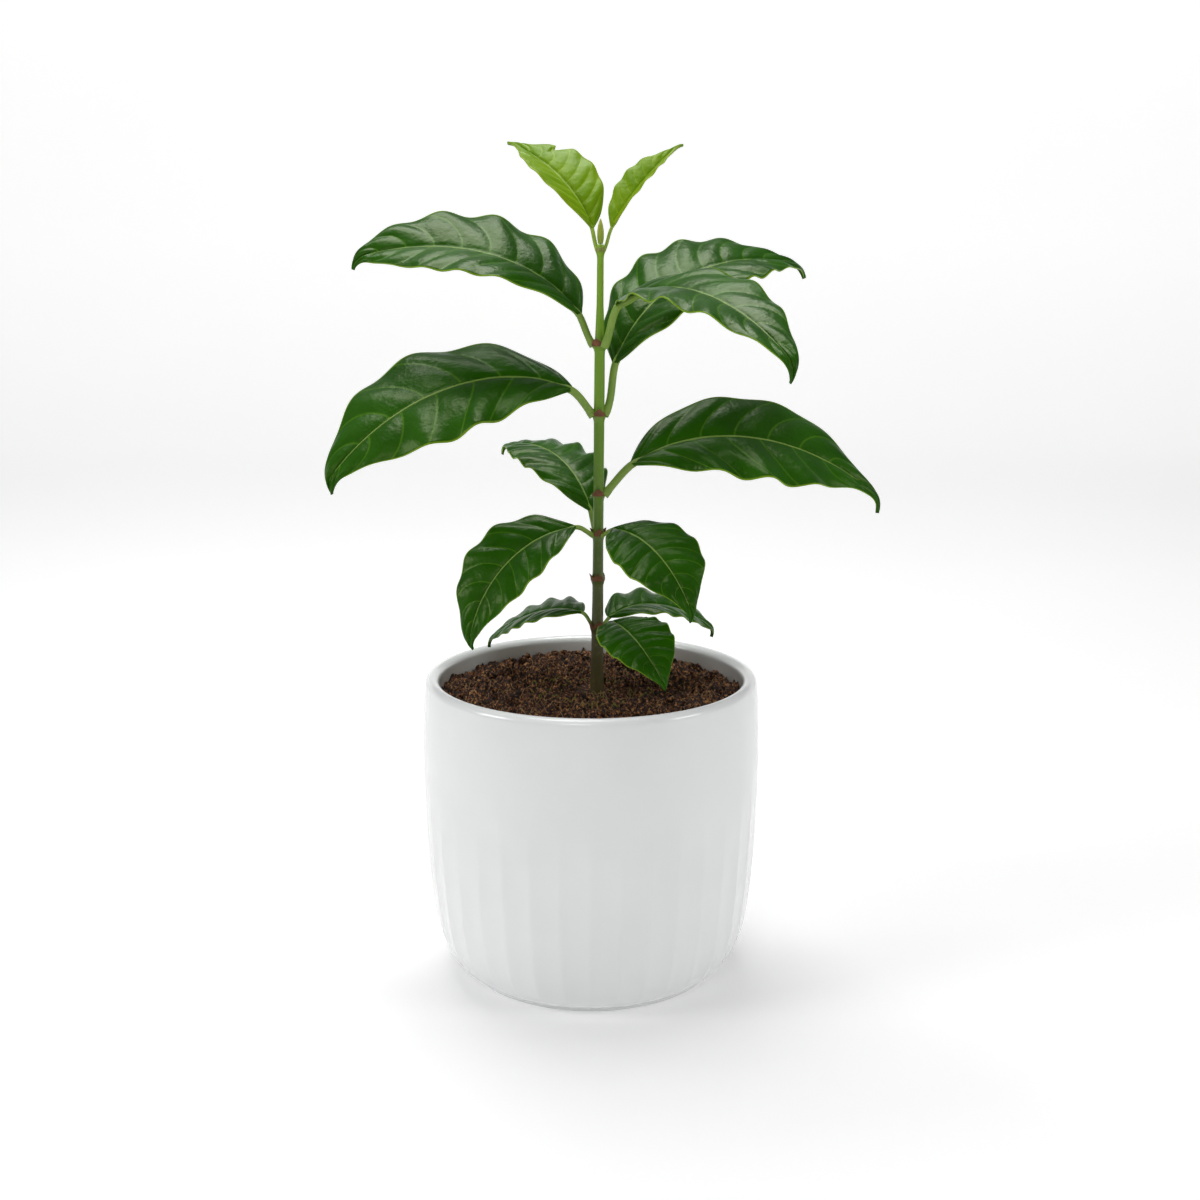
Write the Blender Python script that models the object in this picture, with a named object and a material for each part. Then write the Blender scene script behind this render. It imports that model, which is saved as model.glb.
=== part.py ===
"""A young coffee plant in a round white pot, in metres, +Z up.

The pot's flat underside stands on z = 0 with its axis on the Z axis, and the
plant's front faces -Y. One object is made for each sub-part.
"""
from dataclasses import dataclass
from math import cos, pi, radians, sin

import bmesh
import bpy
import numpy as np

# The pot: a turned, fluted bowl with a rolled lip.
POT_FOOT_RADIUS = 0.0495
POT_WALL = 0.005
POT_FLOOR = 0.006
POT_OUTSIDE = [  # height, radius
    (0.0022, 0.0512), (0.0060, 0.0556), (0.0130, 0.0595), (0.0230, 0.0622),
    (0.0400, 0.0642), (0.0600, 0.0654), (0.0850, 0.0660), (0.1080, 0.0655),
]
LIP_RADIUS = 0.0620
LIP_HEIGHT = 0.1168
LIP_BEAD = 0.0027
LIP_STEPS = 4
FLUTES = 36
FLUTE_DEPTH = 0.0005
FLUTE_FADE = (0.060, 0.088)
FLUTE_FOOT = (0.001, 0.012)

# The potting mix: a disc that fills the pot, a little higher at the back.
GAP = 0.0003
SOIL_TOP = 0.1124
SOIL_FLAT_RADIUS = 0.006
SOIL_TILT = 0.0012
SOIL_EDGE_DROP = 0.0014
SOIL_SEGMENTS = 36

# The stem: a leaning rod that tapers, with a swelling at each node.
STEM_FOOT = SOIL_TOP + GAP
STEM_TOP = 0.2840
STEM_FOOT_X = 0.0023
STEM_TOP_X = 0.0037
STEM_GIRTH = [  # height, radius between the nodes
    (STEM_FOOT, 0.0027), (0.125, 0.0024), (0.150, 0.0021), (0.170, 0.0020),
    (0.205, 0.0020), (0.238, 0.0020), (0.247, 0.0019), (0.262, 0.0013), (STEM_TOP, 0.0012),
]
NODE_REACH = 0.0028
STEM_SIDES = 12
RING_SCAR = ("ring_scar", 0.157, 0.0006)
NODE_SWELLING = {  # node height and how far it stands out of the stem
    "bottom": (0.138, 0.0006),
    "lower": (0.1745, 0.0005),
    "side": (0.1900, 0.0005),
    "middle": (0.2205, 0.0006),
    "upper": (0.2468, 0.0011),
    "crown": (0.2815, 0.0005),
}

# The bud at the stem's tip.
BUD_LENGTH = 0.0095
BUD_RADIUS = 0.00125
BUD_SIDES = 8

# What all leaves share.
EDGE_SAMPLES = (-1.0, -0.5, 0.0, 0.5, 1.0)
LEAF_THICKNESS = 0.012
THINNEST_BLADE = 0.0008
BASE_BLEND = 0.07
TIP_TAPER = 1.08
TIP_HALF_WIDTH = 0.0004
DRIP_SPAN = (0.62, 0.95)
HOOK_SPAN = (0.90, 1.0)
MARGIN_CURL = 0.12
MARGIN_SKEW = 0.02
WAVE_CROWD = 1.1
WAVE_LEAD = 0.10
WAVE_SIDEWAYS = 0.25
STALK_STEPS = 5
FOOT_STEEPEST = 50
STALK_GIRTH = 0.0135
RIB_DEPTH = 0.0006


@dataclass
class Leaf:
    """One leaf: angles in degrees, lengths in metres, heading counted from +X towards +Y."""
    name: str
    node: str
    heading: float
    reach: float
    lift: float
    rise: float
    droop: float
    sweep: float
    roll: float
    twist: float
    fold: float
    length: float
    width: float
    hook: float
    waves: float
    wave_left: float
    wave_right: float
    phase_left: float
    phase_right: float
    bend: float = 0.7
    widest: float = 0.44
    drip: float = 0.2
    torn_hand: float = 0.0
    torn_at: float = 0.0
    torn_span: float = 1.0
    torn_depth: float = 0.0


LEAVES = [
    Leaf("leaf_crown_left", "crown", heading=133, reach=0.0045, lift=0.0080, rise=69, droop=17,
         sweep=4, roll=7, twist=7, fold=25, length=0.058, width=0.029, hook=10, waves=5.8,
         wave_left=0.0004, wave_right=0.0004, phase_left=0.35, phase_right=0.30, bend=0.55,
         widest=0.46, drip=0.5, torn_hand=1, torn_at=0.66, torn_span=0.05, torn_depth=0.22),
    Leaf("leaf_crown_right", "crown", heading=37, reach=0.0052, lift=0.0085, rise=57, droop=32,
         sweep=3, roll=0, twist=-9, fold=34, length=0.047, width=0.018, hook=20, waves=5.7,
         wave_left=0.0004, wave_right=0.0004, phase_left=0.7, phase_right=0.1, drip=0.5),
    Leaf("leaf_upper_left", "upper", heading=158, reach=0.0082, lift=0.0110, rise=60, droop=-18,
         sweep=29, roll=8, twist=31, fold=13, length=0.098, width=0.051, hook=50, waves=5.4,
         wave_left=0.0008, wave_right=0.0014, phase_left=0.5, phase_right=0.4, bend=0.65, drip=0),
    Leaf("leaf_upper_front", "upper", heading=-49, reach=0.0098, lift=0.0145, rise=49, droop=-36,
         sweep=-11, roll=-22, twist=22, fold=12, length=0.109, width=0.036, hook=80, waves=5.0,
         wave_left=0.0010, wave_right=0.0016, phase_left=0.45, phase_right=0.15, bend=0.45, drip=0.1),
    Leaf("leaf_middle_left", "middle", heading=184, reach=0.0102, lift=0.0095, rise=35, droop=-51,
         sweep=30, roll=26, twist=3, fold=4, length=0.110, width=0.055, hook=50, waves=4.3,
         wave_left=0.0020, wave_right=0.0014, phase_left=0.65, phase_right=0.95, bend=0.6),
    Leaf("leaf_middle_right", "middle", heading=33, reach=0.0072, lift=0.0190, rise=72, droop=-18,
         sweep=-3, roll=-6, twist=-18, fold=12, length=0.107, width=0.052, hook=45, waves=6.6,
         wave_left=0.0012, wave_right=0.0014, phase_left=0.55, phase_right=0.5, bend=0.75),
    Leaf("leaf_side_right", "side", heading=9, reach=0.0123, lift=0.0111, rise=40, droop=-45,
         sweep=-1, roll=-33, twist=-2, fold=8, length=0.113, width=0.048, hook=50, waves=5.0,
         wave_left=0.0006, wave_right=0.0022, phase_left=0.5, phase_right=0.25, widest=0.46, drip=0.5),
    Leaf("leaf_lower_left", "lower", heading=205, reach=0.0095, lift=0.0038, rise=0, droop=-83,
         sweep=5, roll=24, twist=4, fold=12, length=0.068, width=0.033, hook=35, waves=5.2,
         wave_left=0.0014, wave_right=0.0010, phase_left=0.35, phase_right=0.7, bend=0.9),
    Leaf("leaf_lower_front", "lower", heading=-49, reach=0.0084, lift=0.0032, rise=12, droop=-64,
         sweep=-1, roll=-16, twist=5, fold=9, length=0.057, width=0.035, hook=55, waves=5.5,
         wave_left=0.0006, wave_right=0.0010, phase_left=0.5, phase_right=0.4, bend=0.75, drip=0.4),
    Leaf("leaf_lower_back", "lower", heading=115, reach=0.0067, lift=0.0080, rise=61, droop=-16,
         sweep=16, roll=-6, twist=16, fold=3, length=0.077, width=0.034, hook=55, waves=6.4,
         wave_left=0.0010, wave_right=0.0014, phase_left=0.9, phase_right=0.5, bend=0.65, drip=0.3),
    Leaf("leaf_bottom_left", "bottom", heading=140, reach=0.0077, lift=0.0047, rise=11, droop=-45,
         sweep=13, roll=6, twist=19, fold=6, length=0.054, width=0.025, hook=45, waves=5.6,
         wave_left=0.0006, wave_right=0.0008, phase_left=0.0, phase_right=0.35, widest=0.40),
    Leaf("leaf_bottom_right", "bottom", heading=38, reach=0.0058, lift=0.0030, rise=31, droop=-44,
         sweep=-25, roll=-2, twist=-21, fold=11, length=0.054, width=0.027, hook=65, waves=4.9,
         wave_left=0.0010, wave_right=0.0006, phase_left=0.85, phase_right=0.55, widest=0.37, drip=0),
    Leaf("leaf_bottom_front", "bottom", heading=-63, reach=0.0130, lift=0.0048, rise=5, droop=-45,
         sweep=5, roll=-10, twist=-1, fold=15, length=0.044, width=0.029, hook=35, waves=6.0,
         wave_left=0.0006, wave_right=0.0008, phase_left=0.2, phase_right=0.6, bend=0.75,
         widest=0.41, torn_hand=-1, torn_at=0.20, torn_span=0.05, torn_depth=0.15),
]


def material(name, colour, roughness, metallic=0.0):
    """A Principled material with one colour."""
    made = bpy.data.materials.new(name)
    made.use_nodes = True
    shader = made.node_tree.nodes["Principled BSDF"]
    shader.inputs["Base Color"].default_value = (*colour, 1.0)
    shader.inputs["Roughness"].default_value = roughness
    shader.inputs["Metallic"].default_value = metallic
    made.diffuse_color = (*colour, 1.0)
    return made


def glaze_material():
    return material("white_glaze", (0.80, 0.80, 0.80), 0.15)


def soil_material():
    return material("potting_mix", (0.05, 0.025, 0.012), 0.95)


def stem_material():
    return material("green_stem", (0.10, 0.16, 0.03), 0.5)


def young_leaf_material():
    return material("young_leaf", (0.20, 0.36, 0.02), 0.35)


def leaf_material():
    return material("leaf", (0.02, 0.10, 0.015), 0.25)


def skin(name, rings, look, sharp_angle=50):
    """A closed solid through rings of equally many points, capped flat at both ends."""
    shape = bmesh.new()
    rows = [[shape.verts.new(point) for point in ring] for ring in rings]
    count = len(rows[0])
    for lower, upper in zip(rows, rows[1:]):
        for i in range(count):
            j = (i + 1) % count
            shape.faces.new((lower[i], lower[j], upper[j], upper[i]))
    shape.faces.new(rows[0][::-1])
    shape.faces.new(rows[-1])
    bmesh.ops.triangulate(shape, faces=shape.faces)
    bmesh.ops.recalc_face_normals(shape, faces=shape.faces)
    mesh = bpy.data.meshes.new(name)
    shape.to_mesh(mesh)
    shape.free()
    mesh.materials.append(look)
    mesh.shade_smooth()
    mesh.set_sharp_from_angle(angle=radians(sharp_angle))
    made = bpy.data.objects.new(name, mesh)
    bpy.context.scene.collection.objects.link(made)
    return made


def ease(x, start, end):
    """0 before start, 1 after end, and a smooth step between them."""
    s = np.clip((x - start) / (end - start), 0.0, 1.0)
    return s * s * (3.0 - 2.0 * s)


def circle(radius, height, segments, centre_x=0.0):
    """Points round the Z axis, or round a line beside it."""
    turns = [2.0 * pi * i / segments for i in range(segments)]
    return [(centre_x + radius * cos(a), radius * sin(a), height) for a in turns]


def pot_outer_radius(height):
    heights, radii = zip((0.0, POT_FOOT_RADIUS), *POT_OUTSIDE)
    return float(np.interp(height, heights, radii))


def fluted_ring(radius, height):
    """A ring of the pot's outside, cut in at every second point where it is fluted."""
    fade = (1.0 - ease(height, *FLUTE_FADE)) * ease(height, *FLUTE_FOOT)
    ring = circle(radius, height, 2 * FLUTES)
    shrink = 1.0 - FLUTE_DEPTH * fade / radius
    return [(x * shrink, y * shrink, z) if i % 2 else (x, y, z) for i, (x, y, z) in enumerate(ring)]


def lip_rings():
    """The rolled lip, from its outer side over the top to its inner side."""
    rings = []
    for step in range(LIP_STEPS + 1):
        turn = pi * step / LIP_STEPS
        radius = LIP_RADIUS + LIP_BEAD * cos(turn)
        rings.append(circle(radius, LIP_HEIGHT + LIP_BEAD * sin(turn), 2 * FLUTES))
    return rings


def make_pot():
    rings = [fluted_ring(POT_FOOT_RADIUS, 0.0)]
    rings += [fluted_ring(radius, height) for height, radius in POT_OUTSIDE]
    rings += lip_rings()
    for height, radius in reversed(POT_OUTSIDE):
        if height > POT_FLOOR:
            rings.append(circle(radius - POT_WALL, height, 2 * FLUTES))
    rings.append(circle(POT_FOOT_RADIUS, POT_FLOOR, 2 * FLUTES))
    return skin("pot", rings, glaze_material())


def soil_ring(radius, height, tilt):
    ring = circle(radius, height, SOIL_SEGMENTS)
    return [(x, y, z + tilt * y / radius) for x, y, z in ring]


def make_soil():
    """The potting mix, down to the pot's floor, flat where the stem stands on it."""
    wall = POT_WALL + 2.0 * GAP
    rings = [soil_ring(POT_FOOT_RADIUS - GAP, POT_FLOOR + GAP, 0.0)]
    for height, radius in POT_OUTSIDE[2::2]:
        rings.append(soil_ring(radius - wall, height, 0.0))
    rim = pot_outer_radius(SOIL_TOP) - wall
    rings.append(soil_ring(rim, SOIL_TOP - SOIL_EDGE_DROP, SOIL_TILT))
    rings.append(soil_ring(0.8 * rim, SOIL_TOP - 0.3 * SOIL_EDGE_DROP, SOIL_TILT))
    rings.append(soil_ring(0.4 * rim, SOIL_TOP, 0.5 * SOIL_TILT))
    rings.append(soil_ring(SOIL_FLAT_RADIUS, SOIL_TOP, 0.0))
    return skin("soil", rings, soil_material())


def stem_x(height):
    return float(np.interp(height, (STEM_FOOT, STEM_TOP), (STEM_FOOT_X, STEM_TOP_X)))


def stem_radius(height):
    """The stem's radius, with the swelling of each node and of the ring scar."""
    heights, radii = zip(*STEM_GIRTH)
    radius = float(np.interp(height, heights, radii))
    for centre, swelling in [*NODE_SWELLING.values(), RING_SCAR[1:]]:
        radius += swelling * float(np.exp(-((height - centre) / (0.5 * NODE_REACH)) ** 2))
    return radius


def make_stem():
    heights = {STEM_FOOT, STEM_TOP}
    for centre, _ in [*NODE_SWELLING.values(), RING_SCAR[1:]]:
        heights |= {centre - NODE_REACH, centre - 0.4 * NODE_REACH, centre, centre + 0.4 * NODE_REACH}
        heights |= {min(centre + NODE_REACH, STEM_TOP)}
    rings = [circle(stem_radius(z), z, STEM_SIDES, stem_x(z)) for z in sorted(heights)]
    return skin("stem", rings, stem_material(), sharp_angle=60)


def make_bud():
    """The pointed bud that stands on the stem's flat tip."""
    rings = []
    for share, girth in ((0.0, 0.75), (0.2, 0.95), (0.45, 1.0), (0.7, 0.75), (0.9, 0.4), (1.0, 0.15)):
        height = STEM_TOP + GAP + share * BUD_LENGTH
        rings.append(circle(girth * BUD_RADIUS, height, BUD_SIDES, STEM_TOP_X))
    return skin("terminal_bud", rings, young_leaf_material(), sharp_angle=60)


def half_width(leaf, t, hand):
    """Half the blade's width at the share t of its length, on the left (-1) or right (1) hand."""
    rising = leaf.widest / (1.0 - leaf.widest) * TIP_TAPER
    peak = leaf.widest ** rising * (1.0 - leaf.widest) ** TIP_TAPER
    width = 0.5 * leaf.width * t ** rising * (1.0 - t) ** TIP_TAPER / peak
    width *= (1.0 - leaf.drip * ease(t, *DRIP_SPAN)) * (1.0 + MARGIN_SKEW * hand)
    if hand == leaf.torn_hand:
        inside = np.clip(1.0 - abs(t - leaf.torn_at) / leaf.torn_span, 0.0, 1.0)
        width *= 1.0 - leaf.torn_depth * inside
    return width


def blade_frame(leaf, t):
    """The midrib's direction, the blade's sideways direction and its upward normal."""
    pitch = leaf.rise + (leaf.droop - leaf.rise) * t ** leaf.bend - leaf.hook * ease(t, *HOOK_SPAN)
    return turned_frame(radians(pitch), radians(leaf.heading + leaf.sweep * t), radians(leaf.roll + leaf.twist * t))


def turned_frame(pitch, heading, roll):
    along = np.array((cos(pitch) * cos(heading), cos(pitch) * sin(heading), sin(pitch)))
    side = np.array((sin(heading), -cos(heading), 0.0))
    up = np.cross(side, along)
    return along, side * cos(roll) + up * sin(roll), up * cos(roll) - side * sin(roll)


def blade_offset(leaf, t, v):
    """How far the blade's point v, -1 to 1 across it, lies sideways and upwards of the midrib."""
    hand = 1.0 if v > 0.0 else -1.0
    across = abs(v)
    width = half_width(leaf, t, hand)
    wave = leaf.wave_left if hand < 0.0 else leaf.wave_right
    phase = leaf.phase_left if hand < 0.0 else leaf.phase_right
    place = leaf.waves * (t + WAVE_LEAD * (1.0 - across)) ** WAVE_CROWD
    ripple = wave * width / (0.5 * leaf.width) * across ** 2 * cos(2.0 * pi * (place - phase))
    fold = radians(leaf.fold)
    sideways = width * v * cos(fold) + hand * WAVE_SIDEWAYS * ripple
    upwards = width * across * (sin(fold) - MARGIN_CURL * across) + ripple
    return sideways, upwards


def stalk_radius(leaf):
    return max(STALK_GIRTH * leaf.length, 0.00055)


def ring_at(centre, side, up, radius):
    """A round ring with two points for each sample across the blade, the upper ones first."""
    top = [radians(162 - 36 * i) for i in range(len(EDGE_SAMPLES))]
    turns = top + [-angle for angle in reversed(top)]
    return [centre + radius * (side * cos(a) + up * sin(a)) for a in turns]


def blade_ring(leaf, centre, side, up, t, thickness):
    """A flat ring round the blade, thick along the rib under the midrib."""
    points = []
    for upper in (True, False):
        for v in EDGE_SAMPLES if upper else reversed(EDGE_SAMPLES):
            sideways, upwards = blade_offset(leaf, t, v)
            if t > DRIP_SPAN[1]:
                sideways = v * max(abs(sideways), abs(v) * TIP_HALF_WIDTH) if v else 0.0
            depth = 0.0 if upper else thickness + (RIB_DEPTH * (1.0 - t) if v == 0.0 else 0.0)
            points.append(centre + side * sideways + up * (upwards + 0.5 * thickness - depth))
    return points


def foot_pitch(leaf, foot, base, out):
    """The stalk leaves the stem towards the blade, but never steeper than FOOT_STEEPEST."""
    steep = np.arctan2(base[2] - foot[2], (base - foot)[:2] @ out[:2])
    return min(float(steep), radians(FOOT_STEEPEST))


def stalk_rings(leaf, foot, base, along, roll):
    """The stalk runs from its foot, cut flush with the stem, into the blade's direction."""
    heading = radians(leaf.heading)
    out = np.array((cos(heading), sin(heading), 0.0))
    first = foot_pitch(leaf, foot, base, out)
    start = out * cos(first) + np.array((0.0, 0.0, sin(first)))
    reach = float(np.linalg.norm(base - foot))
    _, side, _ = turned_frame(0.0, heading, 0.0)
    flush = np.array((0.0, 0.0, 1.0 / cos(first)))
    rings = [ring_at(foot, side, flush, stalk_radius(leaf))]
    for step in range(1, STALK_STEPS):
        u = step / STALK_STEPS
        centre = ((2 * u ** 3 - 3 * u ** 2 + 1) * foot + (u ** 3 - 2 * u ** 2 + u) * reach * start
                  + (3 * u ** 2 - 2 * u ** 3) * base + (u ** 3 - u ** 2) * reach * along)
        slope = ((6 * u ** 2 - 6 * u) * foot + (3 * u ** 2 - 4 * u + 1) * reach * start
                 + (6 * u - 6 * u ** 2) * base + (3 * u ** 2 - 2 * u) * reach * along)
        pitch = float(np.arctan2(slope[2], slope[:2] @ out[:2]))
        _, side, up = turned_frame(pitch, heading, roll * u)
        rings.append(ring_at(centre, side, up, stalk_radius(leaf)))
    return rings


def leaf_stations(leaf):
    """Shares of the length at which the blade is sectioned, close together at its base."""
    count = 24 if leaf.length > 0.09 else 17
    even = [BASE_BLEND + (0.985 - BASE_BLEND) * i / count for i in range(count + 1)]
    return [0.0, 0.3 * BASE_BLEND, 0.6 * BASE_BLEND] + even


def make_leaf(leaf):
    """The stalk and the blade as one solid, 0.3 mm clear of the stem."""
    heading = radians(leaf.heading)
    out = np.array((cos(heading), sin(heading), 0.0))
    node_height = NODE_SWELLING[leaf.node][0]
    centre = np.array((stem_x(node_height), 0.0, node_height))
    foot = centre + out * (stem_radius(node_height) + GAP)
    base = centre + out * leaf.reach + np.array((0.0, 0.0, leaf.lift))
    along, side, up = blade_frame(leaf, 0.0)
    rings = stalk_rings(leaf, foot, base, along, radians(leaf.roll))
    thickness = max(THINNEST_BLADE, LEAF_THICKNESS * (leaf.length + leaf.lift + leaf.reach))
    mid, last = base, 0.0
    for t in leaf_stations(leaf):
        middle_along, _, _ = blade_frame(leaf, 0.5 * (t + last))
        mid = mid + middle_along * (t - last) * leaf.length
        _, side, up = blade_frame(leaf, t)
        blade = blade_ring(leaf, mid, side, up, t, thickness * (1.0 - 0.4 * ease(t, *HOOK_SPAN)))
        share = float(ease(t, 0.0, BASE_BLEND))
        round_ring = ring_at(mid, side, up, stalk_radius(leaf))
        rings.append([a * share + b * (1.0 - share) for a, b in zip(blade, round_ring)])
        last = t
    look = young_leaf_material() if leaf.node == "crown" else leaf_material()
    return skin(leaf.name, rings, look, sharp_angle=40)


def build():
    for old in list(bpy.data.objects):
        bpy.data.objects.remove(old)
    make_pot()
    make_soil()
    make_stem()
    make_bud()
    for leaf in LEAVES:
        make_leaf(leaf)


build()
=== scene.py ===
"""The looks of a young coffee plant in a round white pot, in metres."""
import random
from math import cos, pi, radians, sin, sqrt

import bpy
import numpy as np
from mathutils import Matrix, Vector, noise


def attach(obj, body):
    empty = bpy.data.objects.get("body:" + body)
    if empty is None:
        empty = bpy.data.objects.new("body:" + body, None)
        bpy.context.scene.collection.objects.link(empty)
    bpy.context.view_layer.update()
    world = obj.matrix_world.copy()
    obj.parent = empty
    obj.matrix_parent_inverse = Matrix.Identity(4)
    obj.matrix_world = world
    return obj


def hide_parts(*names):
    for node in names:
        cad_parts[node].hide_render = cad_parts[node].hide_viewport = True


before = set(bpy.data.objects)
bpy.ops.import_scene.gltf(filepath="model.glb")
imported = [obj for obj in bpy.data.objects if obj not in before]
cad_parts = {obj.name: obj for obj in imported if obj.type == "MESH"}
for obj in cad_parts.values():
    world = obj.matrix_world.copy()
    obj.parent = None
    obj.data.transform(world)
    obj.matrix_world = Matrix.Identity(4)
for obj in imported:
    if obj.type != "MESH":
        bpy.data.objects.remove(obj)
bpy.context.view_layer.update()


# The studio: a white sweep of paper that curves up behind the plant, soft lights
# above, at each side and in front, and the camera well above the rim, tilted down.
CAMERA_PLACE = (0.0035, -0.6316, 0.2910)
CAMERA_TILT = 12.68
LENS_MM = 50
SENSOR_MM = 36
SEAM_GAP = 0.000002
PAPER_HALF_WIDTH = 4.0
PAPER_FRONT = -3.0
PAPER_BEND_START = 1.6
PAPER_BEND_RADIUS = 0.8
PAPER_WALL = 0.15
PAPER_GLOW = (0.22, 0.61)
GLOW_SPAN = (0.3, 2.2)
PAPER_ROUGHNESS = 0.9
PAPER_ROWS = 120
AIM = (0, 0, 0.2)
WORLD_STRENGTH = 0.16


def linear(code):
    """The linear colour of an sRGB hex value."""
    shares = [int(code[i:i + 2], 16) / 255 for i in (1, 3, 5)]
    return [s / 12.92 if s <= 0.04045 else ((s + 0.055) / 1.055) ** 2.4 for s in shares] + [1.0]


def node(tree, kind, inputs=None, **settings):
    """Add a node, with its settings, and with values or links on its inputs."""
    made = tree.nodes.new(kind)
    for key, value in settings.items():
        setattr(made, key, value)
    for socket, value in (inputs or {}).items():
        if isinstance(value, bpy.types.NodeSocket):
            tree.links.new(value, made.inputs[socket])
        else:
            made.inputs[socket].default_value = value
    return made


def new_material(name):
    """An empty Principled material: its tree and its shader."""
    made = bpy.data.materials.new(name)
    made.use_nodes = True
    return made, made.node_tree, made.node_tree.nodes["Principled BSDF"]


def shaped_grid(name, around, along, place, closed=False):
    """A grid of faces whose points are set by place(u, v), both from 0 to 1, with its seams merged."""
    bpy.ops.object.select_all(action="DESELECT")
    bpy.ops.mesh.primitive_grid_add(x_subdivisions=around, y_subdivisions=along, size=1.0)
    made = bpy.context.object
    made.name = made.data.name = name
    for vertex in made.data.vertices:
        vertex.co = place(vertex.co.x + 0.5, vertex.co.y + 0.5)
    if closed:
        bpy.ops.object.mode_set(mode="EDIT")
        bpy.ops.mesh.select_all(action="SELECT")
        bpy.ops.mesh.remove_doubles(threshold=SEAM_GAP)
        bpy.ops.mesh.normals_make_consistent(inside=False)
        bpy.ops.mesh.select_all(action="DESELECT")
        bpy.ops.object.mode_set(mode="OBJECT")
    made.data.shade_smooth()
    return made


def paper_material():
    # Seamless background paper: matt white, with hardly any grain.
    made, tree, shader = new_material("background paper")
    place = node(tree, "ShaderNodeTexCoord").outputs["Object"]
    grain = node(tree, "ShaderNodeTexNoise", {"Vector": place, "Scale": 3.0}).outputs["Fac"]
    tone = node(tree, "ShaderNodeMix", {"Factor": grain, "A": linear("#e4e4e4"), "B": linear("#eaeaea")},
                data_type="RGBA")
    tree.links.new(tone.outputs["Result"], shader.inputs["Base Color"])
    shader.inputs["Roughness"].default_value = PAPER_ROUGHNESS
    shader.inputs["Emission Color"].default_value = linear("#ffffff")
    depth = node(tree, "ShaderNodeSeparateXYZ", {"Vector": place}).outputs["Y"]
    glow = node(tree, "ShaderNodeMapRange", {
        "Value": depth, "From Min": GLOW_SPAN[0], "From Max": GLOW_SPAN[1],
        "To Min": PAPER_GLOW[0], "To Max": PAPER_GLOW[1]})
    tree.links.new(glow.outputs["Result"], shader.inputs["Emission Strength"])
    return made


def paper_place(u, v):
    x = (2.0 * u - 1.0) * PAPER_HALF_WIDTH
    flat = PAPER_BEND_START - PAPER_FRONT
    arc = 0.5 * pi * PAPER_BEND_RADIUS
    run = v * (flat + arc + PAPER_WALL)
    if run < flat:
        return Vector((x, PAPER_FRONT + run, 0.0))
    turn = min((run - flat) / PAPER_BEND_RADIUS, 0.5 * pi)
    rise = PAPER_BEND_RADIUS * (1.0 - cos(turn)) + max(run - flat - arc, 0.0)
    return Vector((x, PAPER_BEND_START + PAPER_BEND_RADIUS * sin(turn), rise))


paper = shaped_grid("paper_sweep", 2, PAPER_ROWS, paper_place)
paper.data.materials.append(paper_material())

bpy.ops.object.camera_add(location=CAMERA_PLACE, rotation=(radians(90 - CAMERA_TILT), 0, 0))
camera = bpy.context.object
camera.data.lens = LENS_MM
camera.data.sensor_width = SENSOR_MM
bpy.context.scene.camera = camera
bpy.context.scene.view_settings.view_transform = "Standard"


def soft_light(name, place, size, watts):
    """A square soft light that shines at the plant's middle."""
    bpy.ops.object.light_add(type="AREA", location=place)
    lamp = bpy.context.object
    lamp.name = name
    lamp.data.size = size
    lamp.data.energy = watts
    lamp.rotation_euler = (Vector(AIM) - Vector(place)).to_track_quat("-Z", "Y").to_euler()


soft_light("top_light", (-0.1, 0.35, 1.4), 0.8, 14)
soft_light("left_light", (-1.5, -0.5, 0.9), 0.6, 9)
soft_light("right_light", (1.5, -0.6, 0.8), 0.6, 7)
soft_light("front_light", (-0.3, -1.6, 1.3), 0.6, 5)

world = bpy.data.worlds.new("studio")
bpy.context.scene.world = world
world.use_nodes = True
world.node_tree.nodes["Background"].inputs["Color"].default_value = linear("#ffffff")
world.node_tree.nodes["Background"].inputs["Strength"].default_value = WORLD_STRENGTH


# The pot: slip-cast stoneware in a white gloss glaze, turned with a rolled lip
# and shallow flutes that fade out half way up, on a low foot. A solver outside this
# script fitted its profile, its lip and the camera to the photo.
FOOT_RADIUS = 0.0495
POT_WALL = 0.005
POT_FLOOR = 0.006
POT_OUTSIDE = [(0.0022, 0.0512), (0.0060, 0.0556), (0.0130, 0.0595), (0.0230, 0.0622),
               (0.0400, 0.0642), (0.0600, 0.0654), (0.0850, 0.0660), (0.1080, 0.0655)]
FOOT_GROOVE = 0.0003
LIP_RADIUS = 0.0620
LIP_HEIGHT = 0.1168
LIP_BEAD = 0.0027
FLUTES = 36
FLUTE_DEPTH = 0.0005
FLUTE_FADE = (0.050, 0.088)
FLUTE_FOOT = (0.001, 0.010)
OUTSIDE_STEPS = 8
INSIDE_STEPS = 4
LIP_STEPS = 16
POT_AROUND = 360
POT_ALONG = 150


def ease(x, start, end):
    """0 before start, 1 after end, and a smooth step between them."""
    s = np.clip((x - start) / (end - start), 0.0, 1.0)
    return float(s * s * (3.0 - 2.0 * s))


def rounded(points, steps):
    """A smooth line through the points."""
    line = []
    padded = [points[0], *points, points[-1]]
    for before, a, b, after in zip(padded, padded[1:], padded[2:], padded[3:]):
        before, a, b, after = (np.array(p) for p in (before, a, b, after))
        for i in range(steps):
            s = i / steps
            line.append(0.5 * (2 * a + (b - before) * s + (2 * before - 5 * a + 4 * b - after) * s ** 2
                               + (3 * a - before - 3 * b + after) * s ** 3))
    return line + [np.array(points[-1])]


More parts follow.
